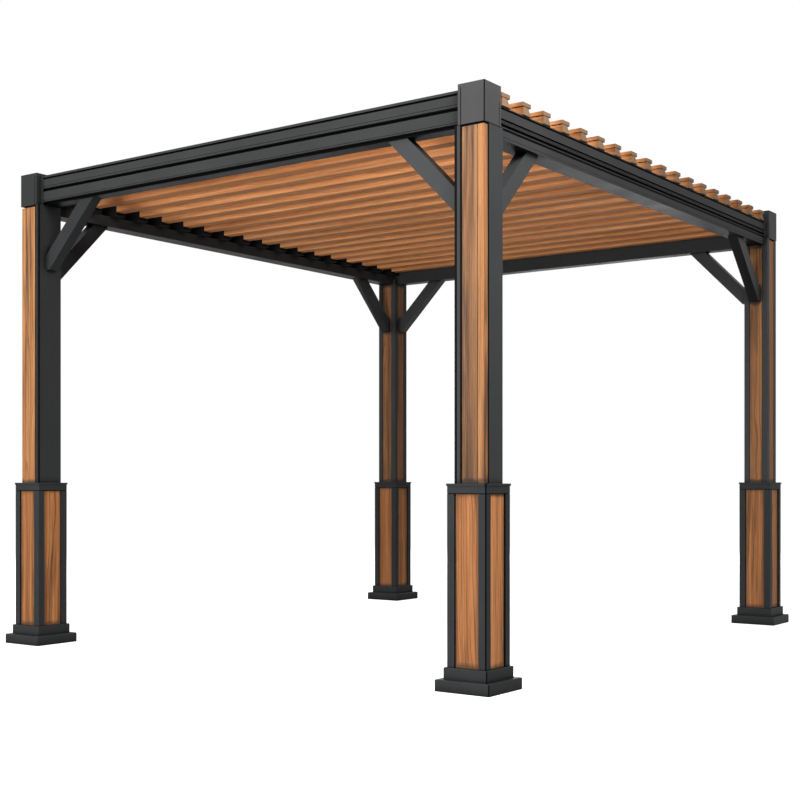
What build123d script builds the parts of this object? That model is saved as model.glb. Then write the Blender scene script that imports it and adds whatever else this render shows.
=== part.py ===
from build123d import *
import os

# A free-standing garden pergola: four clad posts on panelled pedestals, four
# stepped beams with knee braces, and a roof of slats lying across the side beams.
# Millimetres, +Z up, origin on the ground at the middle of the footprint.
# X runs along the front beam, and the front looks towards -Y.

# Plan
span_x = 2870.0                  # between post centres, left to right
span_y = 3315.0                  # between post centres, front to back

# Two-tier plinths
plinth_lower_width = 273.0
plinth_lower_height = 51.0
plinth_upper_width = 219.0
plinth_upper_height = 51.0
plinth_edge = 3.0                # bevel round the top of each tier

# Panelled pedestals
pedestal_width = 197.0
pedestal_height = 783.0
pedestal_wall = 12.0
pedestal_rail = 44.0             # top rail, above the panels
pedestal_stile = 38.0            # corner stile, beside the panels
pedestal_lip = 3.0               # flange that stands proud round the top
pedestal_lip_height = 10.0
pedestal_cover = 6.0             # plate that closes the pedestal round the post
panel_recess = 8.0
panel_thickness = 10.0
panel_gap = 1.5                  # shadow gap beside and over a panel

# Fine joints in the sheet metal, at corners and between fitted pieces
seam_width = 2.0
seam_depth = 2.0

# Posts and their wooden boards
post_width = 150.0
post_wall = 4.0
post_height = 2309.0             # from the plinth up to the front and back beams
post_clearance = 0.5             # round the post where it passes the pedestal cover
board_thickness = 12.0
board_recess = 2.0               # boards lie this far inside the metal faces
board_gap = 1.5                  # shadow gap between a board and the metal
board_top_gap = 8.0              # dark line left open under the corner connector
wrap_width = 33.0                # each leg of the corner board on a front post
front_wood_width = 113.0         # all the wood on the front of a front post
back_strip = 34.0                # dark strip beside each board of a back post
post_line_width = 3.0            # upright line in the dark strip of a front post
post_line_inset = 7.0            # from the inner edge of the post

# Beams, each face as bands from the top down: height and how far it is set back
beam_wall = 4.0
groove_depth = 12.0
shallow_groove_depth = 4.0
line_depth = 1.2                 # fine lines and ribs
beam_x_width = 92.0
beam_x_bands = (
    (12.0, 0.0),
    (6.0, groove_depth),
    (41.5, 0.0),
    (1.5, line_depth),
    (16.0, 0.0),
    (11.0, groove_depth),
    (48.5, 0.0),
    (1.5, line_depth),
    (11.0, 0.0),
    (11.0, groove_depth),
)
beam_back_drop = 40.0            # the back beam hangs this far below the post tops
beam_y_width = 104.0
beam_y_drop = 40.0               # and so do the side beams
beam_y_ledge = 60.0              # height of the full-width lower part of a side beam
beam_y_rail = 40.0               # width of its upper part, on the outer side
beam_y_bands = (
    (6.0, 0.0),
    (8.0, groove_depth),
    (39.0, 0.0),
    (8.0, groove_depth),
    (2.6, 0.0),
    (1.2, line_depth),
    (2.6, 0.0),
    (1.2, line_depth),
    (2.6, 0.0),
    (1.2, line_depth),
    (2.6, 0.0),
    (13.0, groove_depth),
    (5.0, 0.0),
    (11.0, shallow_groove_depth),
    (27.5, 0.0),
    (1.5, line_depth),
    (13.0, 0.0),
)

# Corner connectors on the post tops
connector_proud = 3.0            # beyond the outer faces of the post
connector_shoulder = 1.0         # between the side of the wider collar and the connector's edge
connector_height = 174.0
connector_wall = 5.0
connector_seam_inset = 15.0      # upright seam, from the inner edge of each outer face
collar_wall = 3.0

# Knee braces, rectangular tubes at 45 degrees
brace_leg = 385.0                # from the post face to the far edge under the beam
brace_depth = 75.0               # across the tube, in the plane of the brace
brace_width = 60.0
brace_wall = 3.0
brace_toe = 30.0                 # level cut at the foot

# Roof slats, each a flat cap board over a deeper sloped batten
slat_pitch = 180.0
slat_side_gap = 12.0             # at least this much between the end slats and the connectors
slat_cap_width = 70.0
slat_cap_height = 20.0
slat_batten_height = 38.0
slat_batten_inset = 4.0          # shadow line under the near edge of the cap
slat_neck = 46.0                 # where the batten meets the cap
slat_foot = 74.0                 # where the batten meets the rail
slat_stem = 64.0                 # deeper middle of the slat, between the side rails
slat_overhang = 8.0              # past the outer faces of the side beams
shoe_length = 117.0              # dark shoe that holds each end of a stem
shoe_base = 19.0                 # lifts the stem off the ledge
shoe_wall = 3.0
shoe_clearance = 0.5

# What follows from them
plinth_top = plinth_lower_height + plinth_upper_height
pedestal_top = plinth_top + pedestal_height
post_top = plinth_top + post_height
beam_x_height = sum(height for height, set_back in beam_x_bands)
beam_y_height = sum(height for height, set_back in beam_y_bands)
beam_x_top = post_top + beam_x_height
beam_y_bottom = post_top - beam_y_drop
beam_y_top = beam_y_bottom + beam_y_height
connector_inner = max(beam_x_width, beam_y_width) / 2 + collar_wall + connector_shoulder
slat_height = slat_cap_height + slat_batten_height
slat_far_side = slat_foot - slat_cap_width / 2          # from the middle line of a slat
slat_room = span_y / 2 - post_width / 2 - slat_side_gap - slat_far_side
slat_count = 1 + int(2 * slat_room / slat_pitch)
ledge_top = beam_y_bottom + beam_y_ledge
stem_bottom = ledge_top + shoe_base + shoe_clearance
rail_inner = span_x / 2 + beam_y_width / 2 - beam_y_rail   # from the middle of the roof
stem_end = rail_inner - shoe_wall - shoe_clearance

corners = {
    "front_left": (-1, -1),
    "front_right": (1, -1),
    "back_left": (-1, 1),
    "back_right": (1, 1),
}


def corner_plane(side_x, side_y, height):
    """A level plane centred on one post, at the given height."""
    return Plane(origin=(side_x * span_x / 2, side_y * span_y / 2, height))


def turned(points, side_x, side_y):
    """Points drawn for the back right corner, mirrored to another corner."""
    return [(side_x * x, side_y * y) for x, y in points]


def write(part, name):
    part.label = name
    export_step(part, "parts/" + name + ".step")


def make_plinth(name, side_x, side_y):
    tiers = (
        (plinth_lower_width, 0, plinth_lower_height),
        (plinth_upper_width, plinth_lower_height, plinth_upper_height),
    )
    with BuildPart() as plinth:
        for width, level, height in tiers:
            with BuildSketch(corner_plane(side_x, side_y, level)):
                Rectangle(width, width)
            extrude(amount=height)
            chamfer(plinth.faces().sort_by(Axis.Z)[-1].edges(), plinth_edge)
        # Seams down the corners of each tier
        for width, level, height in tiers:
            with BuildSketch(corner_plane(side_x, side_y, level)):
                with GridLocations(width, width, 2, 2):
                    Rectangle(2 * seam_depth, 2 * seam_depth)
            extrude(amount=height, mode=Mode.SUBTRACT)
    write(plinth.part, "plinth_" + name)


def make_pedestal_frame(name, side_x, side_y):
    window_width = pedestal_width - 2 * pedestal_stile
    window_height = pedestal_height - pedestal_rail
    with BuildPart() as frame:
        with BuildSketch(corner_plane(side_x, side_y, plinth_top)):
            Rectangle(pedestal_width, pedestal_width)
        extrude(amount=pedestal_height)
        with BuildSketch(corner_plane(side_x, side_y, pedestal_top)):
            Rectangle(pedestal_width + 2 * pedestal_lip, pedestal_width + 2 * pedestal_lip)
        extrude(amount=-pedestal_lip_height)
        # Hollow inside, closed on top by a plate with a hole for the post
        with BuildSketch(corner_plane(side_x, side_y, plinth_top)):
            Rectangle(pedestal_width - 2 * pedestal_wall, pedestal_width - 2 * pedestal_wall)
        extrude(amount=pedestal_height - pedestal_cover, mode=Mode.SUBTRACT)
        with BuildSketch(corner_plane(side_x, side_y, plinth_top)):
            Rectangle(post_width + 2 * post_clearance, post_width + 2 * post_clearance)
        extrude(amount=pedestal_height, mode=Mode.SUBTRACT)
        # A tall window through each pair of faces
        for length, depth in ((pedestal_width, window_width), (window_width, pedestal_width)):
            with BuildSketch(corner_plane(side_x, side_y, plinth_top)):
                Rectangle(length, depth)
            extrude(amount=window_height, mode=Mode.SUBTRACT)
        # Seams down the corners, and between the top rails and the corner stiles
        lip_width = pedestal_width + 2 * pedestal_lip
        under_lip = pedestal_height - pedestal_lip_height
        for width, level, height in (
            (pedestal_width, plinth_top, under_lip),
            (lip_width, plinth_top + under_lip, pedestal_lip_height),
        ):
            with BuildSketch(corner_plane(side_x, side_y, level)):
                with GridLocations(width, width, 2, 2):
                    Rectangle(2 * seam_depth, 2 * seam_depth)
            extrude(amount=height, mode=Mode.SUBTRACT)
        with BuildSketch(corner_plane(side_x, side_y, plinth_top + window_height)):
            Rectangle(pedestal_width, pedestal_width)
            inside = pedestal_width - 2 * seam_depth
            Rectangle(inside, inside, mode=Mode.SUBTRACT)
        extrude(amount=seam_width, mode=Mode.SUBTRACT)
    write(frame.part, "pedestal_frame_" + name)


def make_pedestal_panels(name, side_x, side_y):
    panel_width = pedestal_width - 2 * (pedestal_stile + panel_gap)
    panel_height = pedestal_height - pedestal_rail - panel_gap
    panel_place = pedestal_width / 2 - panel_recess - panel_thickness / 2
    with BuildPart() as panels:
        with BuildSketch(corner_plane(side_x, side_y, plinth_top)):
            with PolarLocations(panel_place, 4):
                Rectangle(panel_thickness, panel_width)
        extrude(amount=panel_height)
    write(panels.part, "pedestal_panels_" + name)


def front_post_outline():
    """Outline with an L-shaped rebate for the wood at the outer corner."""
    half = post_width / 2
    rebate = board_recess + board_thickness
    wood_end = half - front_wood_width - board_gap
    wrap_end = half - wrap_width - board_gap
    return [
        (-half, -half), (half, -half), (half, wrap_end), (half - rebate, wrap_end),
        (half - rebate, half - rebate), (wood_end, half - rebate), (wood_end, half),
        (-half, half),
    ]


def back_post_outline():
    """Outline with a shallow rebate for a board in the middle of each face."""
    half = post_width / 2
    rebate = board_recess + board_thickness
    board_half = half - back_strip
    face = [(half, -half), (half, -board_half), (half - rebate, -board_half),
            (half - rebate, board_half), (half, board_half)]
    points = []
    for quarter in range(4):
        points += face
        face = [(-y, x) for x, y in face]
    return points


def make_post(name, side_x, side_y):
    outline = front_post_outline() if side_y < 0 else back_post_outline()
    with BuildPart() as post:
        with BuildSketch(corner_plane(side_x, side_y, plinth_top)):
            with BuildLine():
                Polyline(*turned(outline, side_x, side_y), close=True)
            make_face()
            offset(amount=-post_wall, kind=Kind.INTERSECTION, mode=Mode.SUBTRACT)
        extrude(amount=post_height)
        # Head plate that closes the tube and carries the connector
        with BuildSketch(corner_plane(side_x, side_y, post_top)):
            with BuildLine():
                Polyline(*turned(outline, side_x, side_y), close=True)
            make_face()
        extrude(amount=-post_wall)
        if side_y < 0:
            line = post_line_inset + post_line_width / 2 - post_width / 2
            with BuildSketch(corner_plane(side_x, side_y, plinth_top)):
                with Locations((side_x * line, side_y * post_width / 2)):
                    Rectangle(post_line_width, 2 * seam_depth)
            extrude(amount=post_height, mode=Mode.SUBTRACT)
    write(post.part, "post_" + name)


def front_boards(side_x, side_y):
    """Corner board that wraps the outer corner, and the flat board beside it."""
    outer = post_width / 2 - board_recess
    inner = outer - board_thickness
    wrap_end = post_width / 2 - wrap_width
    flat_end = post_width / 2 - front_wood_width
    wrap = [(outer, outer), (outer, wrap_end), (inner, wrap_end), (inner, inner),
            (wrap_end, inner), (wrap_end, outer)]
    flat = [(wrap_end - board_gap, outer), (wrap_end - board_gap, inner),
            (flat_end, inner), (flat_end, outer)]
    return [turned(wrap, side_x, side_y), turned(flat, side_x, side_y)]


def back_boards():
    """One flat board in the middle of each face."""
    outer = post_width / 2 - board_recess
    inner = outer - board_thickness
    half = post_width / 2 - back_strip - board_gap
    board = [(inner, -half), (outer, -half), (outer, half), (inner, half)]
    boards = []
    for quarter in range(4):
        boards.append(board)
        board = [(-y, x) for x, y in board]
    return boards


def make_post_boards(name, side_x, side_y):
    boards = front_boards(side_x, side_y) if side_y < 0 else back_boards()
    with BuildPart() as wood:
        with BuildSketch(corner_plane(side_x, side_y, pedestal_top)):
            for board in boards:
                with BuildLine():
                    Polyline(*board, close=True)
                make_face()
        extrude(amount=post_top - board_top_gap - pedestal_top)
    write(wood.part, "post_boards_" + name)


def make_connector(name, side_x, side_y):
    """Hollow box on the post top, with a collar over the end of each beam."""
    size = post_width / 2 + connector_proud + connector_inner
    shift = post_width / 2 + connector_proud - size / 2
    back_drop = beam_back_drop if side_y > 0 else 0
    collar_length = post_width / 2 - connector_inner
    collar_place = connector_inner + collar_length / 2
    # Each collar is an inverted U, cut out to the section of its beam
    over_x = beam_x_height - back_drop
    over_y = beam_y_height - beam_y_drop
    rail_place = side_x * (beam_y_width - beam_y_rail) / 2
    place_x = (-side_x * collar_place, 0)
    place_y = (0, -side_y * collar_place)
    collars = (
        (place_x, collar_length, beam_x_width + 2 * collar_wall, over_x + collar_wall, Mode.ADD),
        (place_x, collar_length, beam_x_width, over_x, Mode.SUBTRACT),
        (place_y, beam_y_width + 2 * collar_wall, collar_length, over_y + collar_wall, Mode.ADD),
        (place_y, beam_y_width, collar_length, beam_y_ledge - beam_y_drop, Mode.SUBTRACT),
        ((rail_place, place_y[1]), beam_y_rail, collar_length, over_y, Mode.SUBTRACT),
    )
    with BuildPart() as connector:
        with BuildSketch(corner_plane(side_x, side_y, post_top)):
            with Locations((side_x * shift, side_y * shift)):
                Rectangle(size, size)
        extrude(amount=connector_height)
        with BuildSketch(corner_plane(side_x, side_y, post_top)):
            with Locations((side_x * shift, side_y * shift)):
                Rectangle(size - 2 * connector_wall, size - 2 * connector_wall)
        extrude(amount=connector_height - connector_wall, mode=Mode.SUBTRACT)
        for place, width, depth, height, mode in collars:
            with BuildSketch(corner_plane(side_x, side_y, post_top)):
                with Locations(place):
                    Rectangle(width, depth)
            extrude(amount=height, mode=mode)
        # Seams: down the outer corner, and on each outer face beside the beam
        face = post_width / 2 + connector_proud
        seam = connector_seam_inset - connector_inner
        for place, width, depth, height in (
            ((face, face), 2 * seam_depth, 2 * seam_depth, connector_height),
            ((seam, face), seam_width, 2 * seam_depth, over_x),
            ((face, seam), 2 * seam_depth, seam_width, over_y),
        ):
            with BuildSketch(corner_plane(side_x, side_y, post_top)):
                with Locations((side_x * place[0], side_y * place[1])):
                    Rectangle(width, depth)
            extrude(amount=height, mode=Mode.SUBTRACT)
    write(connector.part, "connector_" + name)


def beam_section(bands, width, side, centre, top, ledge=0.0, rail=0.0):
    """Hollow section of a beam, drawn flat: across the beam, then up.

    Its stepped face looks outwards. Where there is a ledge, the beam above it is
    only as wide as the rail.
    """
    outer = centre + side * width / 2
    inner = centre - side * width / 2
    points = []
    level = top
    for height, set_back in bands:
        face = outer - side * set_back
        points += [(face, level), (face, level - height)]
        level -= height
    if rail:
        step = outer - side * rail
        points += [(inner, level), (inner, level + ledge), (step, level + ledge), (step, top)]
        rooms = ((width, level, level + ledge), (rail, level + ledge, top))
    else:
        points += [(inner, level), (inner, top)]
        rooms = ((width, level, top),)
    with BuildSketch() as section:
        with BuildLine():
            Polyline(*points, close=True)
        make_face()
        # Hollows behind the deepest groove
        for room_width, low, high in rooms:
            hollow = room_width - groove_depth - 2 * beam_wall
            place = outer - side * (groove_depth + beam_wall + hollow / 2)
            with Locations((place, (low + high) / 2)):
                Rectangle(hollow, high - low - 2 * beam_wall, mode=Mode.SUBTRACT)
    return section.sketch


def make_beam_x(name, side, drop):
    """Front or back beam between the connectors; a lower one is notched over the posts."""
    length = span_x - 2 * connector_inner
    notch = post_width / 2 - connector_inner
    centre = side * span_y / 2
    section = beam_section(beam_x_bands, beam_x_width, side, centre, beam_x_top - drop)
    with BuildPart() as beam:
        with BuildSketch(Plane.YZ.offset(-length / 2)):
            add(section)
        extrude(amount=length)
        if drop:
            with BuildSketch(Plane.XY.offset(post_top)):
                with Locations(((length - notch) / 2, centre), ((notch - length) / 2, centre)):
                    Rectangle(notch, beam_x_width)
            extrude(amount=-drop, mode=Mode.SUBTRACT)
    write(beam.part, name)


def make_beam_y(name, side):
    """Side beam, notched at both ends to sit on the post tops."""
    length = span_y - 2 * connector_inner
    notch = post_width / 2 - connector_inner
    centre = side * span_x / 2
    section = beam_section(beam_y_bands, beam_y_width, side, centre, beam_y_top,
                           beam_y_ledge, beam_y_rail)
    with BuildPart() as beam:
        with BuildSketch(Plane.XZ.offset(-length / 2)):
            add(section)
        extrude(amount=length)
        with BuildSketch(Plane.XY.offset(post_top)):
            with Locations((centre, (length - notch) / 2), (centre, (notch - length) / 2)):
                Rectangle(beam_y_width, notch)
        extrude(amount=-beam_y_drop, mode=Mode.SUBTRACT)
    write(beam.part, name)


def brace_outline(side, post_place, top):
    """Closed outline of a brace from the inner face of a post up to a beam."""
    level_cut = brace_depth * 2 ** 0.5
    face = post_place - side * post_width / 2
    foot = top - brace_leg + brace_toe
    return [
        (face, foot), (face - side * brace_toe, foot), (face - side * brace_leg, top),
        (face - side * (brace_leg - level_cut), top), (face, top - brace_leg + level_cut),
    ]


def make_brace(name, side_x, side_y, along_x):
    """Hollow brace, centred on the post, in the plane of one beam."""
    if along_x:
        under_beam = post_top - (beam_back_drop if side_y > 0 else 0)
        outline = brace_outline(side_x, side_x * span_x / 2, under_beam)
        plane = Plane.XZ.offset(-side_y * span_y / 2)
    else:
        outline = brace_outline(side_y, side_y * span_y / 2, beam_y_bottom)
        plane = Plane.YZ.offset(side_x * span_x / 2)
    with BuildPart() as brace:
        with BuildSketch(plane):
            with BuildLine():
                Polyline(*outline, close=True)
            make_face()
        extrude(amount=brace_width / 2, both=True)
        with BuildSketch(plane):
            with BuildLine():
                Polyline(*outline, close=True)
            make_face()
            offset(amount=-brace_wall, kind=Kind.INTERSECTION, mode=Mode.REPLACE)
        extrude(amount=brace_width / 2 - brace_wall, both=True, mode=Mode.SUBTRACT)
    write(brace.part, name)


def slat_places():
    """Middle of each slat along Y, evenly about the middle of the roof."""
    return [(number - (slat_count - 1) / 2) * slat_pitch for number in range(slat_count)]


def make_slats():
    """Cap and batten laid across the rails, and a deeper stem hanging between them."""
    end = span_x / 2 + beam_y_width / 2 + slat_overhang
    near = -slat_cap_width / 2
    batten_near = near + slat_batten_inset
    outline = [
        (batten_near, 0), (near + slat_foot, 0), (near + slat_neck, slat_batten_height),
        (near + slat_cap_width, slat_batten_height), (near + slat_cap_width, slat_height),
        (near, slat_height), (near, slat_batten_height), (batten_near, slat_batten_height),
    ]
    with BuildPart() as slat:
        with BuildSketch(Plane.YZ):
            with BuildLine():
                Polyline(*outline, close=True)
            make_face()
        extrude(amount=end, both=True)
        stem_height = beam_y_top - stem_bottom
        with BuildSketch(Plane.YZ):
            with Locations((batten_near + slat_stem / 2, -stem_height / 2)):
                Rectangle(slat_stem, stem_height)
        extrude(amount=stem_end, both=True)
    with BuildPart() as slats:
        with Locations(*[(0, place, beam_y_top) for place in slat_places()]):
            add(slat.part)
    write(slats.part, "roof_slats")


def make_shoes():
    """Dark shoes on the ledges of the side beams, open inwards, one for each end of a stem."""
    width = slat_stem + 2 * (shoe_clearance + shoe_wall)
    height = beam_y_top - ledge_top - shoe_clearance
    middle = slat_batten_inset + (slat_stem - slat_cap_width) / 2
    pocket = shoe_length - shoe_wall
    with BuildPart() as shoes:
        for side in (-1, 1):
            for place in slat_places():
                with BuildSketch(Plane.XY.offset(ledge_top)):
                    with Locations((side * (rail_inner - shoe_length / 2), place + middle)):
                        Rectangle(shoe_length, width)
                extrude(amount=height)
        for side in (-1, 1):
            for place in slat_places():
                with BuildSketch(Plane.XY.offset(ledge_top + shoe_base)):
                    with Locations((side * (rail_inner - shoe_wall - pocket / 2), place + middle)):
                        Rectangle(pocket, width - 2 * shoe_wall)
                extrude(amount=height, mode=Mode.SUBTRACT)
    write(shoes.part, "slat_shoes")


os.makedirs("parts", exist_ok=True)

for corner, (side_x, side_y) in corners.items():
    make_plinth(corner, side_x, side_y)
    make_pedestal_frame(corner, side_x, side_y)
    make_pedestal_panels(corner, side_x, side_y)
    make_post(corner, side_x, side_y)
    make_post_boards(corner, side_x, side_y)
    make_connector(corner, side_x, side_y)
    make_brace("brace_x_" + corner, side_x, side_y, True)
    make_brace("brace_y_" + corner, side_x, side_y, False)

make_beam_x("beam_front", -1, 0)
make_beam_x("beam_back", 1, beam_back_drop)
make_beam_y("beam_left", -1)
make_beam_y("beam_right", 1)
make_slats()
make_shoes()
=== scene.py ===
import math
import random

import bmesh
import bpy
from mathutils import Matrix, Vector


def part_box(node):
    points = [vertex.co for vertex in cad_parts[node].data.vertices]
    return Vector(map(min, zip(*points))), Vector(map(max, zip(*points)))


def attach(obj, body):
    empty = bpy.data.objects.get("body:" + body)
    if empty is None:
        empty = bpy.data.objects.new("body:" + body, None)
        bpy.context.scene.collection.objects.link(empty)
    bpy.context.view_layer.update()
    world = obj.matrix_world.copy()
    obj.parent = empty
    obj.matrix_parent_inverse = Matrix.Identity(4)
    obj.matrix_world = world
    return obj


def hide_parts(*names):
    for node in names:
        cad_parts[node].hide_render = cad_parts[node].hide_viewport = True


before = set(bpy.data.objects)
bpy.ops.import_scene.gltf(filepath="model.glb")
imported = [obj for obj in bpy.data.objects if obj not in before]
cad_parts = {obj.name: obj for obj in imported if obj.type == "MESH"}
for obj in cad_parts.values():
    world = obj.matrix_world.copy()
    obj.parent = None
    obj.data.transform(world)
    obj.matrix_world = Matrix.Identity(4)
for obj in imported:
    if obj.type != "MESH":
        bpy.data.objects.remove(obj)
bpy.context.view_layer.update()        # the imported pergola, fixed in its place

print("frame loaded with", len(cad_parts), "nodes")


# Small tools for nodes and edges

sharpAngle = math.radians(35)      # edges sharper than this get rounded


def addNode(tree, kind, values=None, **settings):
    # values: socket name or number -> a number, a colour or another node's output
    node = tree.nodes.new(kind)
    for key, value in settings.items():
        setattr(node, key, value)
    for key, value in (values or {}).items():
        socket = node.inputs[key]
        if isinstance(value, bpy.types.NodeSocket):
            tree.links.new(value, socket)
        else:
            socket.default_value = value
    return node


def maths(tree, kind, first, second=0.0):
    return addNode(tree, "ShaderNodeMath", {0: first, 1: second}, operation=kind).outputs[0]


def vectorMaths(tree, kind, first, second=(0.0, 0.0, 0.0), result="Vector"):
    node = addNode(tree, "ShaderNodeVectorMath", {0: first, 1: second}, operation=kind)
    return node.outputs[result]


def split(tree, vector):
    return addNode(tree, "ShaderNodeSeparateXYZ", {0: vector}).outputs


def between(tree, value, span, start=0.0, end=1.0):
    # turns a value's way through span into one from start to end, and stops there
    return addNode(tree, "ShaderNodeMapRange", {"Value": value, "From Min": span[0],
                   "From Max": span[1], "To Min": start, "To Max": end}).outputs[0]


def mixColour(tree, factor, first, second, kind="MIX"):
    return addNode(tree, "ShaderNodeMix", {"Factor": factor, "A": first, "B": second},
                   data_type="RGBA", blend_type=kind).outputs["Result"]


def solid(colour):
    return (*colour, 1.0)


def roundEdges(piece, width, steps):
    bevel = piece.modifiers.new("roundedEdges", "BEVEL")
    bevel.width = width
    bevel.segments = steps
    bevel.limit_method = "ANGLE"
    bevel.angle_limit = sharpAngle
    bevel.harden_normals = True


# Camera, lamps and floor

camera = {
    "place": (4.469, -6.446, 0.900),
    "turn": 35.85,            # degrees left of straight ahead
    "lens": 59.47,
    "sensor": 36.0,
    "shift": (0.0025, 0.1000),
    "sight": 200.0,           # nothing further away is drawn
}

lamps = {
    "skyLevel": 0.34,         # soft light from all round
    "softboxes": [
        # name, place, what it looks at, size in metres, watts, colour
        ("nearSoftbox", (3.3, -2.6, 3.9), (1.5, -1.7, 2.4), 1.4, 125, (1.0, 0.985, 0.96)),
        ("frontSoftbox", (-1.2, -5.5, 3.6), (-0.4, -1.7, 2.45), 2.5, 75, (1.0, 0.99, 0.97)),
        ("sideSoftbox", (7.0, 2.0, 3.4), (1.4, 0.4, 1.6), 4.0, 75, (0.98, 0.99, 1.0)),
        ("lowSoftbox", (0.4, -7.5, 1.3), (-0.2, 0.0, 2.4), 2.4, 400, (1.0, 0.99, 0.97)),
        ("backSoftbox", (-3.0, 8.5, 3.2), (0.0, 1.7, 1.5), 4.0, 330, (0.98, 0.99, 1.0)),
        ("leftSoftbox", (-8.0, 0.5, 3.4), (-1.4, 0.0, 1.5), 4.0, 260, (1.0, 0.99, 0.98)),
    ],
}

floorLook = {
    "size": 60.0,
    "seenColour": (0.70, 0.70, 0.70),     # the part that takes the shadow
    "seenGlow": 0.80,                     # lifts the rest to plain white
    "bounceColour": (0.11, 0.11, 0.11),   # what it throws back at the pergola
}

white = (1.0, 1.0, 1.0)


def makeCamera():
    data = bpy.data.cameras.new("photoCamera")
    data.sensor_width = camera["sensor"]
    data.lens = camera["lens"]
    data.shift_x, data.shift_y = camera["shift"]
    data.clip_end = camera["sight"]
    photoCamera = bpy.data.objects.new("photoCamera", data)
    photoCamera.location = camera["place"]
    photoCamera.rotation_euler = (math.pi / 2, 0, math.radians(camera["turn"]))
    bpy.context.scene.collection.objects.link(photoCamera)
    bpy.context.scene.camera = photoCamera


def seenDirectly(tree):
    # 1 for what the camera, a reflection or a clear surface shows, 0 for soft light
    path = addNode(tree, "ShaderNodeLightPath").outputs
    shown = maths(tree, "MAXIMUM", path["Is Camera Ray"], path["Is Glossy Ray"])
    return maths(tree, "MAXIMUM", shown, path["Is Transmission Ray"])


def makeSky():
    world = bpy.data.worlds.new("whiteSky")
    world.use_nodes = True
    tree = world.node_tree
    tree.nodes.clear()
    soft = addNode(tree, "ShaderNodeBackground", {"Color": solid(white),
                   "Strength": lamps["skyLevel"]})
    plain = addNode(tree, "ShaderNodeBackground", {"Color": solid(white), "Strength": 1.0})
    mix = addNode(tree, "ShaderNodeMixShader", {0: seenDirectly(tree), 1: soft.outputs[0],
                  2: plain.outputs[0]})
    addNode(tree, "ShaderNodeOutputWorld", {"Surface": mix.outputs[0]})
    bpy.context.scene.world = world


def makeLamps():
    for name, place, target, size, watts, colour in lamps["softboxes"]:
        data = bpy.data.lights.new(name, "AREA")
        data.shape = "DISK"
        data.size = size
        data.energy = watts
        data.color = colour
        lamp = bpy.data.objects.new(name, data)
        lamp.visible_camera = False
        lamp.location = place
        aim = Vector(target) - Vector(place)
        lamp.rotation_euler = aim.to_track_quat("-Z", "Y").to_euler()
        bpy.context.scene.collection.objects.link(lamp)


def makeFloor():
    half = floorLook["size"] / 2
    mesh = bpy.data.meshes.new("studioFloor")
    mesh.from_pydata([(-half, -half, 0), (half, -half, 0), (half, half, 0), (-half, half, 0)],
                     [], [(0, 1, 2, 3)])
    floor = bpy.data.objects.new("studioFloor", mesh)
    bpy.context.scene.collection.objects.link(floor)
    material = bpy.data.materials.new("studioFloor")
    material.use_nodes = True
    tree = material.node_tree
    tree.nodes.clear()
    shadowed = addNode(tree, "ShaderNodeBsdfDiffuse", {"Color": solid(floorLook["seenColour"])})
    glow = addNode(tree, "ShaderNodeEmission", {"Color": solid(white),
                   "Strength": floorLook["seenGlow"]})
    seen = addNode(tree, "ShaderNodeAddShader", {0: shadowed.outputs[0], 1: glow.outputs[0]})
    bounce = addNode(tree, "ShaderNodeBsdfDiffuse", {"Color": solid(floorLook["bounceColour"])})
    mix = addNode(tree, "ShaderNodeMixShader", {0: seenDirectly(tree), 1: bounce.outputs[0],
                  2: seen.outputs[0]})
    addNode(tree, "ShaderNodeOutputMaterial", {"Surface": mix.outputs[0]})
    mesh.materials.append(material)


makeCamera()
makeSky()
makeLamps()
makeFloor()
bpy.context.scene.view_settings.view_transform = "Standard"
print("camera, lamps and floor made")


# Powder-coated metal

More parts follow.
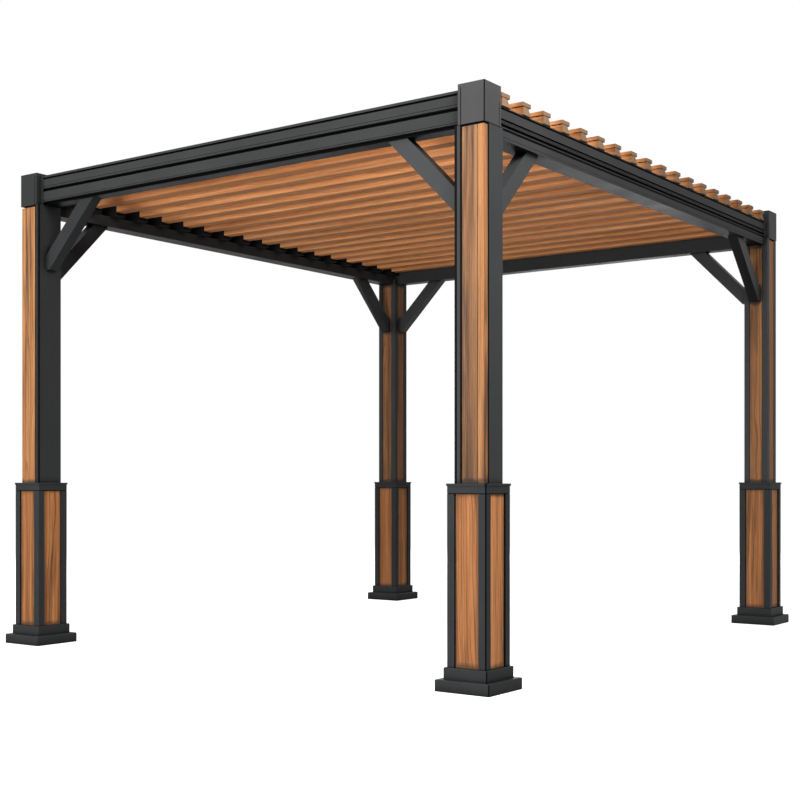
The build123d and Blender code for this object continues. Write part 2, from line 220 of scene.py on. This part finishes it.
metalLooks = {
    # tone and darkerTone are linear colours, and underside is the share of them that faces
    # looking down keep: painted shade under them
    "beamX": {"tone": (0.0400, 0.0411, 0.0422), "darkerTone": (0.0324, 0.0334, 0.0344),
              "roughness": 0.44, "gloss": 0.02, "wearAndHighlight": 0.25, "underside": 0.06},
    # beamY's tone is a little lighter than beamX's: painted light on the side beams
    "beamY": {"tone": (0.0465, 0.0473, 0.0482), "darkerTone": (0.0369, 0.0378, 0.0386),
              "roughness": 0.44, "gloss": 0.02, "wearAndHighlight": 0.25, "underside": 0.14},
    "brace": {"tone": (0.0440, 0.0458, 0.0475), "darkerTone": (0.0360, 0.0375, 0.0390),
              "roughness": 0.44, "gloss": 0.08, "wearAndHighlight": 0.25, "underside": 0.03},
    "shadedBrace": {"tone": (0.0300, 0.0317, 0.0335), "darkerTone": (0.0237, 0.0252, 0.0265),
                 "roughness": 0.44, "gloss": 0.05, "wearAndHighlight": 0.25, "underside": 0.60},
    "post": {"tone": (0.0415, 0.0433, 0.0451), "darkerTone": (0.0340, 0.0356, 0.0371),
             "roughness": 0.44, "gloss": 0.05, "wearAndHighlight": 0.25, "underside": 1.0},
    "shadedPost": {"tone": (0.0320, 0.0334, 0.0348), "darkerTone": (0.0262, 0.0274, 0.0286),
                "roughness": 0.44, "gloss": 0.05, "wearAndHighlight": 0.25, "underside": 1.0},
    "connector": {"tone": (0.0560, 0.0568, 0.0580), "darkerTone": (0.0458, 0.0466, 0.0478),
                  "roughness": 0.46, "gloss": 0.05, "wearAndHighlight": 0.20, "underside": 1.0},
    "shadedConnector": {"tone": (0.0305, 0.0314, 0.0323), "darkerTone": (0.0246, 0.0254, 0.0261),
                     "roughness": 0.46, "gloss": 0.05, "wearAndHighlight": 0.20, "underside": 1.0},
    "pedestal": {"tone": (0.0308, 0.0331, 0.0350), "darkerTone": (0.0233, 0.0251, 0.0267),
                 "roughness": 0.48, "gloss": 0.04, "wearAndHighlight": 0.25, "underside": 1.0},
    "plinth": {"tone": (0.0334, 0.0351, 0.0367), "darkerTone": (0.0257, 0.0272, 0.0284),
               "roughness": 0.52, "gloss": 0.04, "wearAndHighlight": 0.25, "underside": 1.0},
    "shoe": {"tone": (0.008, 0.008, 0.009), "darkerTone": (0.006, 0.006, 0.007),
             "roughness": 0.60, "gloss": 0.05, "wearAndHighlight": 0.10, "underside": 1.0},
}

# starts of node names. The first match counts, and post, braces and connector of the front
# left corner have a darker coat: painted shade, as less light reaches that corner.
metalFor = {
    "beam_front": "beamX", "beam_back": "beamX", "beam_left": "beamY", "beam_right": "beamY",
    "brace_x_front_left": "shadedBrace", "brace_y_front_left": "shadedBrace", "brace_": "brace",
    "post_front_left": "shadedPost", "post_front_right": "post", "post_back_": "post",
    "connector_front_left": "shadedConnector", "connector_": "connector",
    "pedestal_frame_": "pedestal", "plinth_": "plinth", "slat_shoes": "shoe",
}

# grooves, seams and corner joints painted with shade, reaching a little past the grooves' edges:
# for each look the piece that they are measured from, and for each line, along X, Y and Z, how far
# its middle lies in from the outer face or down from the top, and half its size. Mirror images are
# painted too.
everywhere = None
anyLength = 9.0           # half the size of a line that runs everywhere
paintedShadeLines = {
    "beamX": ("beam_front", [
        (everywhere, (0.0073, 0.0052), (0.0810, 0.0800)),
        (everywhere, (0.0, 0.0030), (0.0185, 0.0035)),
        (everywhere, (0.0, 0.0030), (0.0750, 0.0040)),
        (everywhere, (0.0, 0.0030), (0.1480, 0.0035))]),
    "beamY": ("beam_right", [
        ((0.0073, 0.0052), everywhere, (0.0725, 0.0715))]),
    "post": ("post_front_right", [
        ((0.1432, 0.0068), (0.0, 0.0060), everywhere),
        ((0.1175, 0.0045), (0.0, 0.0200), everywhere),
        ((0.0, 0.0200), (0.0370, 0.0026), everywhere)]),
    "connector": ("connector_front_right", [
        ((0.0, 0.0042), (0.0, 0.0042), everywhere),
        ((0.1190, 0.0020), (0.0, 0.0060), (0.0950, 0.0800)),
        ((0.0, 0.0060), (0.1190, 0.0020), (0.1250, 0.0500))]),
    "pedestal": ("pedestal_frame_front_right", [
        ((0.0030, 0.0055), (0.0030, 0.0055), everywhere),
        ((0.1015, 0.1000), (0.1015, 0.1000), (0.0430, 0.0022))]),
    "plinth": ("plinth_front_right", [
        ((0.0, 0.0045), (0.0, 0.0045), everywhere),
        ((0.0270, 0.0045), (0.0270, 0.0045), everywhere)]),
}
sameLines = {"shadedPost": "post", "shadedConnector": "connector"}

coatTexture = {
    # spacing, levels of detail and how rough they are
    "mottle": (0.35, 4.0, 0.6),       # slow change of tone and sheen
    "speck": (0.0088, 2.0, 0.5),      # specks in the tone
    "orangePeel": (0.0022, 2.0, 0.5),
    "speckShare": 0.25,
    "toneSpan": (0.35, 0.65),         # the part of the noise from darker to full tone
    "edgeReach": 0.0030,              # how far the worn, highlighted edge reaches
    "edgeTurn": (0.995, 0.90),        # from a flat face to an edge
    "edgeSamples": 4,
    "wornAndHighlit": (0.16, 0.165, 0.17),    # the coat at edges: partly wear, partly a painted highlight
    "downward": (-0.65, -0.55),       # from an underside in painted shade to a face that keeps its full tone
    "shadeReach": 0.050,              # recesses narrower than this get painted shade, darker than open faces
    "shadeSpan": (0.30, 0.92),        # from a deep recess to an open face
    "shadeSamples": 8,
    "shadeDepth": 0.97,
    # the colour of the painted shade in recesses, grooves and seams
    "black": (0.001, 0.001, 0.001),
    "sheenSpan": (0.3, 0.7),
    "sheenChange": (-0.05, 0.07),     # least and most change of roughness
    "bumpStrength": 0.5,
    "bumpDepth": 0.00006,
}

metalEdge = {"weld": 0.00002, "radius": 0.0012, "steps": 2}


def paintedShadeBoxes(kind):
    # middle and half size of each line of painted shade of a look, in the frame's own metres
    if kind not in paintedShadeLines:
        return []
    nodeName, lines = paintedShadeLines[kind]
    low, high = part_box(nodeName)
    outer = (high.x, -low.y, high.z)
    boxes = []
    for line in lines:
        middle = [0.0 if part is everywhere else reach - part[0] for part, reach in zip(line, outer)]
        half = [anyLength if part is everywhere else part[1] for part in line]
        boxes.append((middle, half))
    return boxes


def paintedShadePlace(tree, place, boxes):
    # 1 inside any of the boxes, 0 outside
    mirrored = vectorMaths(tree, "ABSOLUTE", place)
    inside = 0.0
    for middle, half in boxes:
        away = vectorMaths(tree, "ABSOLUTE", vectorMaths(tree, "SUBTRACT", mirrored, middle))
        past = split(tree, vectorMaths(tree, "SUBTRACT", away, half))
        most = maths(tree, "MAXIMUM", maths(tree, "MAXIMUM", past["X"], past["Y"]), past["Z"])
        inside = maths(tree, "MAXIMUM", maths(tree, "LESS_THAN", most), inside)
    return inside


def powderCoat(name, look, boxes):
    texture = coatTexture
    material = bpy.data.materials.new(name)
    material.use_nodes = True
    tree = material.node_tree
    shader = tree.nodes["Principled BSDF"]
    place = addNode(tree, "ShaderNodeTexCoord").outputs["Object"]

    def noise(mark):
        spacing, detail, roughness = texture[mark]
        return addNode(tree, "ShaderNodeTexNoise", {"Vector": place, "Scale": 1 / spacing,
                       "Detail": detail, "Roughness": roughness}).outputs["Fac"]

    mottle = noise("mottle")
    blend = maths(tree, "ADD", maths(tree, "MULTIPLY", mottle, 1 - texture["speckShare"]),
                  maths(tree, "MULTIPLY", noise("speck"), texture["speckShare"]))
    colour = mixColour(tree, between(tree, blend, texture["toneSpan"]),
                       solid(look["darkerTone"]), solid(look["tone"]))

    # the coat is thin and a little worn along edges, and edges get a painted highlight
    rounded = addNode(tree, "ShaderNodeBevel", {"Radius": texture["edgeReach"]},
                      samples=texture["edgeSamples"])
    face = addNode(tree, "ShaderNodeNewGeometry").outputs
    turned = vectorMaths(tree, "DOT_PRODUCT", rounded.outputs[0], face["Normal"], "Value")
    edge = between(tree, turned, texture["edgeTurn"], 0.0, look["wearAndHighlight"])
    colour = mixColour(tree, maths(tree, "MULTIPLY", edge, mottle), colour,
                       solid(texture["wornAndHighlit"]))

    # painted shade: undersides are darkened, as shade falls under them
    undersideShade = between(tree, split(tree, face["True Normal"])["Z"], texture["downward"],
                   look["underside"], 1.0)
    colour = mixColour(tree, undersideShade, solid((0.0, 0.0, 0.0)), colour)

    # painted shade: grooves, seams and inside corners are darker than open faces, as shade falls in
    # them, and so are the listed lines
    hidden = addNode(tree, "ShaderNodeAmbientOcclusion", {"Distance": texture["shadeReach"]},
                     samples=texture["shadeSamples"])
    shade = between(tree, hidden.outputs["AO"], texture["shadeSpan"], texture["shadeDepth"], 0.0)
    shade = maths(tree, "MAXIMUM", shade, paintedShadePlace(tree, place, boxes))
    colour = mixColour(tree, shade, colour, solid(texture["black"]))

    least, most = (look["roughness"] + change for change in texture["sheenChange"])
    sheen = between(tree, mottle, texture["sheenSpan"], least, most)
    bump = addNode(tree, "ShaderNodeBump", {"Height": noise("orangePeel"),
                   "Strength": texture["bumpStrength"], "Distance": texture["bumpDepth"]})
    shader.inputs["Specular IOR Level"].default_value = look["gloss"]
    tree.links.new(colour, shader.inputs["Base Color"])
    tree.links.new(sheen, shader.inputs["Roughness"])
    tree.links.new(bump.outputs[0], shader.inputs["Normal"])
    return material


def dressMetal(nodeName, material):
    # the CAD piece stays, its edges get the small radius of folded sheet
    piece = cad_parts[nodeName]
    piece.data.materials.clear()
    piece.data.materials.append(material)
    weld = piece.modifiers.new("weld", "WELD")
    weld.merge_threshold = metalEdge["weld"]
    roundEdges(piece, metalEdge["radius"], metalEdge["steps"])


def dressAllMetal():
    coats = {kind: powderCoat(kind + "Coat", look, paintedShadeBoxes(sameLines.get(kind, kind)))
             for kind, look in metalLooks.items()}
    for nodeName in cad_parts:
        kinds = [kind for start, kind in metalFor.items() if nodeName.startswith(start)]
        if kinds:
            dressMetal(nodeName, coats[kinds[0]])


dressAllMetal()
print("metal dressed")


# Wood

woodLooks = {
    # linear colours from the palest wood to the dark streaks
    "slat": {"pale": (0.800, 0.370, 0.155), "warm": (0.560, 0.225, 0.085),
             "deep": (0.260, 0.092, 0.034), "streak": (0.120, 0.052, 0.028),
             "end": (0.560, 0.370, 0.240), "ringShare": 0.35, "streakShare": 0.25,
             "edgeShade": 0.0, "ringSpacing": 0.0075, "roughness": 0.62, "gloss": 0.05},
    "post": {"pale": (0.560, 0.262, 0.106), "warm": (0.360, 0.147, 0.056),
             "deep": (0.130, 0.050, 0.021), "streak": (0.050, 0.034, 0.028),
             "end": (0.500, 0.300, 0.170), "ringShare": 0.65, "streakShare": 0.85,
             "edgeShade": 0.90, "ringSpacing": 0.0080, "roughness": 0.52, "gloss": 0.10},
    "panel": {"pale": (0.640, 0.270, 0.098), "warm": (0.400, 0.150, 0.053),
              "deep": (0.110, 0.040, 0.016), "streak": (0.050, 0.030, 0.022),
              "end": (0.500, 0.300, 0.170), "ringShare": 0.75, "streakShare": 0.75,
              "edgeShade": 0.90, "ringSpacing": 0.0090, "roughness": 0.52, "gloss": 0.10},
}

woodTexture = {
    # width across a board, length along it, levels of detail and how rough they are
    "wander": (0.25, 1.10, 2.0, 0.5),     # the pith wanders, which draws out the long arches
    "uneven": (0.012, 0.60, 2.0, 0.5),    # and the rings are uneven
    "broad": (0.022, 1.40, 3.0, 0.55),    # pale and warm bands
    "drift": (0.038, 0.80, 3.0, 0.6),     # dark patches
    "fibre": (0.0016, 0.11, 3.0, 0.6),
    "pore": (0.0011, 0.030, 1.0, 0.5),
    # the part of each noise that counts
    "broadSpan": (0.36, 0.66),
    "driftSpan": (0.50, 0.74),
    "fibreSpan": (0.3, 0.7),
    "poreSpan": (0.62, 0.74),
    "swing": 0.060,                       # how far the pith wanders
    "unevenShare": 0.8,                   # of a ring's width
    # place in a ring from 0 to 1, and how much late wood there is
    "ringTones": ((0.0, 0.05), (0.62, 0.22), (0.88, 1.0), (0.98, 0.05)),
    "metalReach": 0.028,                  # painted shade: dark patches grow this near to metal, where shade falls
    "metalSpan": (0.70, 0.98),
    "metalSamples": 8,
    "metalShare": 0.45,
    "poreShare": 0.35,
    "fibreTone": (0.86, 1.12),
    "endFacing": (0.80, 0.95),            # from a long side to a sawn end
    "endRings": 0.40,
    "roughnessChange": (0.10, -0.04),     # between the fibres and on them
    "fibreHeight": 0.5,
    "poreDepth": 0.6,
    "ringDepth": 0.25,
    "bumpStrength": 0.55,
    "bumpDepth": 0.0004,
}


def woodMaterial(name, look, alongAxis):
    # growth rings round a pith line, so that faces and ends belong together
    texture = woodTexture
    material = bpy.data.materials.new(name)
    material.use_nodes = True
    tree = material.node_tree
    shader = tree.nodes["Principled BSDF"]
    shader.inputs["Specular IOR Level"].default_value = look["gloss"]

    # board: X and Y across the board, Z along it, with a cut of its own
    place = addNode(tree, "ShaderNodeTexCoord").outputs["Object"]
    shift = addNode(tree, "ShaderNodeAttribute", attribute_name="boardShift")
    tint = addNode(tree, "ShaderNodeAttribute", attribute_name="boardToneAndLight")
    parts = split(tree, vectorMaths(tree, "ADD", place, shift.outputs["Vector"]))
    across = {"X": ("Y", "Z"), "Z": ("X", "Y")}[alongAxis]
    board = addNode(tree, "ShaderNodeCombineXYZ", {"X": parts[across[0]], "Y": parts[across[1]],
                    "Z": parts[alongAxis]}).outputs[0]

    def grain(mark, vector, result="Fac"):
        width, length, detail, roughness = texture[mark]
        scaled = vectorMaths(tree, "MULTIPLY", vector, (1 / width, 1 / width, 1 / length))
        return addNode(tree, "ShaderNodeTexNoise", {"Vector": scaled, "Scale": 1.0,
                       "Detail": detail, "Roughness": roughness}).outputs[result]

    # rings
    wander = grain("wander", board, "Color")
    centred = vectorMaths(tree, "SUBTRACT", wander, (0.5, 0.5, 0.5))
    swing = vectorMaths(tree, "MULTIPLY", centred, (texture["swing"], texture["swing"], 0.0))
    bent = vectorMaths(tree, "ADD", board, swing)
    flat = vectorMaths(tree, "MULTIPLY", bent, (1.0, 1.0, 0.0))
    radius = vectorMaths(tree, "LENGTH", flat, result="Value")
    uneven = maths(tree, "MULTIPLY", grain("uneven", board), texture["unevenShare"])
    ring = maths(tree, "ADD", maths(tree, "DIVIDE", radius, look["ringSpacing"]), uneven)
    lateWood = addNode(tree, "ShaderNodeValToRGB", {"Fac": maths(tree, "FRACT", ring)})
    stops = lateWood.color_ramp.elements
    stops.remove(stops[-1])
    for position, level in texture["ringTones"]:
        stop = stops.new(position) if position > 0 else stops[0]
        stop.color = (level, level, level, 1.0)
    ringTone = lateWood.outputs["Color"]

    # bands, fibres, pores and dark patches, and painted shade near metal
    broad = between(tree, grain("broad", bent), texture["broadSpan"])
    fibre = grain("fibre", bent)
    pore = between(tree, grain("pore", bent), texture["poreSpan"])
    hidden = addNode(tree, "ShaderNodeAmbientOcclusion", {"Distance": texture["metalReach"]},
                     samples=texture["metalSamples"])
    shadeNearMetal = between(tree, hidden.outputs["AO"], texture["metalSpan"], look["edgeShade"], 0.0)
    drift = maths(tree, "ADD", grain("drift", bent),
                  maths(tree, "MULTIPLY", shadeNearMetal, texture["metalShare"]))
    patchesAndShade = between(tree, drift, texture["driftSpan"], 0.0, look["streakShare"])

    colour = mixColour(tree, broad, solid(look["pale"]), solid(look["warm"]))
    colour = mixColour(tree, maths(tree, "MULTIPLY", ringTone, look["ringShare"]), colour,
                       solid(look["deep"]))
    colour = mixColour(tree, patchesAndShade, colour, solid(look["streak"]))
    colour = mixColour(tree, maths(tree, "MULTIPLY", pore, texture["poreShare"]), colour,
                       solid(look["deep"]))
    fine = between(tree, fibre, texture["fibreSpan"], *texture["fibreTone"])
    grey = addNode(tree, "ShaderNodeCombineColor", {0: fine, 1: fine, 2: fine}).outputs[0]
    colour = mixColour(tree, 1.0, colour, grey, "MULTIPLY")

    # sawn ends are paler, and show the rings as arcs
    normal = addNode(tree, "ShaderNodeNewGeometry").outputs["True Normal"]
    facing = maths(tree, "ABSOLUTE", split(tree, normal)[alongAxis])
    ends = between(tree, facing, texture["endFacing"])
    sawn = mixColour(tree, maths(tree, "MULTIPLY", ringTone, texture["endRings"]),
                     solid(look["end"]), solid(look["warm"]))
    colour = mixColour(tree, ends, colour, sawn)
    # each board's tone, which also carries painted light and shade on the slat ends and the
    # pedestals' panels
    colour = mixColour(tree, 1.0, colour, tint.outputs["Color"], "MULTIPLY")

    rougher, smoother = (look["roughness"] + change for change in texture["roughnessChange"])
    rough = between(tree, fibre, texture["fibreSpan"], rougher, smoother)
    height = maths(tree, "SUBTRACT", maths(tree, "MULTIPLY", fibre, texture["fibreHeight"]),
                   maths(tree, "MULTIPLY", pore, texture["poreDepth"]))
    height = maths(tree, "SUBTRACT", height,
                   maths(tree, "MULTIPLY", ringTone, texture["ringDepth"]))
    bump = addNode(tree, "ShaderNodeBump", {"Height": height,
                   "Strength": texture["bumpStrength"], "Distance": texture["bumpDepth"]})
    tree.links.new(colour, shader.inputs["Base Color"])
    tree.links.new(rough, shader.inputs["Roughness"])
    tree.links.new(bump.outputs[0], shader.inputs["Normal"])
    return material


def solidBoxes(nodeName):
    # lowest and highest corner of each solid in a CAD node, in reading order
    joined = bmesh.new()
    joined.from_mesh(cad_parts[nodeName].data)
    bmesh.ops.remove_doubles(joined, verts=joined.verts, dist=metalEdge["weld"])
    left = set(joined.verts)
    boxes = []
    while left:
        waiting = [left.pop()]
        places = []
        while waiting:
            vert = waiting.pop()
            places.append(vert.co.copy())
            for edge in vert.link_edges:
                other = edge.other_vert(vert)
                if other in left:
                    left.remove(other)
                    waiting.append(other)
        boxes.append(tuple(Vector([pick(place[axis] for place in places) for axis in range(3)])
                           for pick in (min, max)))
    joined.free()
    return sorted(boxes, key=lambda box: tuple(round(value, 4) for value in (*box[0], *box[1])))


def newBoards():
    shape = bmesh.new()
    shape.verts.layers.float_vector.new("boardShift")
    shape.verts.layers.float_color.new("boardToneAndLight")
    return shape


pith = {"near": 0.05, "far": 0.16, "along": 20.0}    # where a board was cut from the log


def addBoard(shape, outline, alongAxis, levels, chance, tint, bow=0.0, hang=0.0, fade=1.0,
             endShade=1.0):
    # sweeps a closed outline along one axis; the board gets its own cut of the wood.
    # A hanging part goes under the first side of the outline, from the second level to the
    # last but one. fade is how dark the first end is beside the last, and endShade how dark
    # both ends are beside what lies between (painted shade).
    shiftLayer = shape.verts.layers.float_vector["boardShift"]
    tintLayer = shape.verts.layers.float_color["boardToneAndLight"]
    middle = [sum(point[axis] for point in outline) / len(outline) for axis in (0, 1)]
    angle = chance.uniform(0, 2 * math.pi)
    fromPith = chance.uniform(pith["near"], pith["far"])
    cut = (-middle[0] + fromPith * math.cos(angle), -middle[1] + fromPith * math.sin(angle))
    along = chance.uniform(-pith["along"], pith["along"])
    shift = (along, *cut) if alongAxis == "X" else (*cut, along)

    def newVert(level, a, b):
        share = (level - levels[0]) / (levels[-1] - levels[0])
        aside = a + bow * (1 - (2 * share - 1) ** 2)
        vert = shape.verts.new((level, aside, b) if alongAxis == "X" else (aside, b, level))
        vert[shiftLayer] = shift
        strength = fade + (1 - fade) * share
        if share in (0.0, 1.0):
            strength *= endShade
        vert[tintLayer] = (*(strength * value for value in tint), 1.0)
        return vert

    rings = [[newVert(level, a, b) for a, b in outline] for level in levels]
    openBelow = range(1, len(levels) - 2) if hang else ()
    for number, (lower, upper) in enumerate(zip(rings, rings[1:])):
        for index in range(len(outline)):
            after = (index + 1) % len(outline)
            if not (number in openBelow and index == 0):
                shape.faces.new((lower[index], lower[after], upper[after], upper[index]))
    shape.faces.new(rings[0][::-1])
    shape.faces.new(rings[-1])
    if hang:
        addHangingPart(shape, outline, list(zip(levels, rings))[1:-1], hang, newVert)


def addHangingPart(shape, outline, sections, hang, newVert):
    (nearA, nearB), (farA, farB) = outline[:2]
    loops = [(ring[0], newVert(level, nearA, nearB - hang), newVert(level, farA, farB - hang),
              ring[1]) for level, ring in sections]
    for lower, upper in zip(loops, loops[1:]):
        for index in range(len(lower) - 1):
            shape.faces.new((lower[index], lower[index + 1], upper[index + 1], upper[index]))
    shape.faces.new(loops[0])
    shape.faces.new(loops[-1][::-1])


def finishPiece(shape, name, material, replaced, edge, steps):
    bmesh.ops.recalc_face_normals(shape, faces=shape.faces)
    mesh = bpy.data.meshes.new(name)
    shape.to_mesh(mesh)
    shape.free()
    mesh.materials.append(material)
    piece = bpy.data.objects.new(name, mesh)
    bpy.context.scene.collection.objects.link(piece)
    roundEdges(piece, edge, steps)
    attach(piece, "root")
    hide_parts(replaced)


def rectangle(lowA, highA, lowB, highB):
    return [(lowA, lowB), (highA, lowB), (highA, highB), (lowA, highB)]


roofSlats = {
    "capHeight": 0.020,       # flat plank on top
    "capWidth": 0.070,
    "battenInset": 0.004,     # the batten stands back under the near edge of the cap
    "battenHeight": 0.038,
    "neck": 0.046,            # width of the batten under the cap
    "foot": 0.074,            # width of the batten on the side rails
    "joint": 0.0012,          # fine line between plank and batten
    "stem": 0.064,            # width of the deeper part between the side rails
    "stemInset": 0.0515,      # how far it stops short of the slat's ends
    "bends": 8,               # pieces along a slat, so that it can bow
    "bow": 0.0016,            # the most that a slat is out of true
    "edge": 0.0026,
    "edgeSteps": 3,
    "tones": (0.90, 1.08),
    "warmth": 0.03,           # the most that a slat is warmer or cooler than the others
    "endShade": 0.45,          # the ends outside the beams are darker: painted shade
    "seed": 4,
}


def makeSlats():
    look = roofSlats
    chance = random.Random(look["seed"])
    shape = newBoards()
    for low, high in solidBoxes("roof_slats"):
        near = low.y
        batten = near + look["battenInset"]
        under = high.z - look["capHeight"]
        top = under - look["joint"]
        seat = under - look["battenHeight"]
        bow = chance.uniform(-look["bow"], look["bow"])
        first, last = low.x + look["stemInset"], high.x - look["stemInset"]
        inner = [first + (last - first) * step / look["bends"]
                 for step in range(look["bends"] + 1)]
        cap = rectangle(near, near + look["capWidth"], under, high.z)
        sloped = [(batten, seat), (batten + look["stem"], seat), (near + look["foot"], seat),
                  (near + look["neck"], top), (batten, top)]
        for outline, hang in ((cap, 0.0), (sloped, seat - low.z)):
            tone = chance.uniform(*look["tones"])
            warmth = chance.uniform(-look["warmth"], look["warmth"])
            tint = (tone * (1 + warmth), tone, tone * (1 - warmth))
            addBoard(shape, outline, "X", [low.x, *inner, high.x], chance, tint, bow, hang,
                     endShade=look["endShade"])
    finishPiece(shape, "slats", slatWood, "roof_slats", look["edge"],
                look["edgeSteps"])


postBoards = {
    "thickness": 0.012,
    "edge": 0.0016,
    "edgeSteps": 2,
    # tones of the corner board and the flat board of each front post
    "cornerTone": {"front_right": (0.82, 0.82, 0.80), "front_left": (0.92, 0.92, 0.90)},
    "flatTone": {"front_right": (0.68, 0.74, 0.86), "front_left": (0.90, 0.92, 0.92)},
    "flatFade": {"front_right": 0.54, "front_left": 0.95},     # it darkens downwards
    "backTones": (0.56, 0.72),
    "seed": 11,
    "leftSeed": 7,
}


def cornerChance(look, corner):
    # each corner draws its own boards
    return random.Random(look["seed"] + len(corner) + look["leftSeed"] * corner.count("left"))


def cornerBoard(low, high, thick):
    # outline of the board that wraps the outer corner of a front post
    side = 1 if low.x > 0 else -1
    outer, inner = (high.x, low.x) if side > 0 else (low.x, high.x)
    return [(inner, low.y), (outer, low.y), (outer, high.y), (outer - side * thick, high.y),
            (outer - side * thick, low.y + thick), (inner, low.y + thick)]


def makePostBoards(corner):
    look = postBoards
    chance = cornerChance(look, corner)
    shape = newBoards()
    for low, high in solidBoxes("post_boards_" + corner):
        fade = 1.0
        outline = rectangle(low.x, high.x, low.y, high.y)
        wrapsCorner = min(high.x - low.x, high.y - low.y) > 2 * look["thickness"]
        if wrapsCorner:
            outline = cornerBoard(low, high, look["thickness"])
            tint = look["cornerTone"][corner]
        elif corner in look["flatTone"]:
            tint, fade = look["flatTone"][corner], look["flatFade"][corner]
        else:
            tint = 3 * (chance.uniform(*look["backTones"]),)
        addBoard(shape, outline, "Z", [low.z, high.z], chance, tint, fade=fade)
    finishPiece(shape, "boards_" + corner, postWood, "post_boards_" + corner,
                look["edge"], look["edgeSteps"])


pedestalPanels = {
    "edge": 0.0020,
    "edgeSteps": 2,
    "toneY": 0.68,            # panels in the front and back faces, darker than the sides: painted shade
    "toneX": 0.88,            # panels in the side faces, lighter: painted light
    "nearLitToneX": 1.45,        # and those of the front right pedestal, lighter still: painted light
    "spread": 0.05,
    "topGap": 0.0014,         # each panel reaches up to the rail over it
    "seed": 23,
    "leftSeed": 5,
}


def makePanels(corner):
    look = pedestalPanels
    chance = cornerChance(look, corner)
    shape = newBoards()
    for low, high in solidBoxes("pedestal_panels_" + corner):
        tone = look["toneY"]
        if high.x - low.x < high.y - low.y:
            tone = look["nearLitToneX"] if corner == "front_right" else look["toneX"]
        tone += chance.uniform(-look["spread"], look["spread"])
        addBoard(shape, rectangle(low.x, high.x, low.y, high.y), "Z",
                 [low.z, high.z + look["topGap"]], chance, (tone, tone, tone))
    finishPiece(shape, "panels_" + corner, panelWood,
                "pedestal_panels_" + corner, look["edge"], look["edgeSteps"])


slatWood = woodMaterial("slatWood", woodLooks["slat"], "X")
postWood = woodMaterial("postWood", woodLooks["post"], "Z")
panelWood = woodMaterial("panelWood", woodLooks["panel"], "Z")
makeSlats()
for corner in ("front_left", "front_right", "back_left", "back_right"):
    makePostBoards(corner)
    makePanels(corner)
print("wood made")
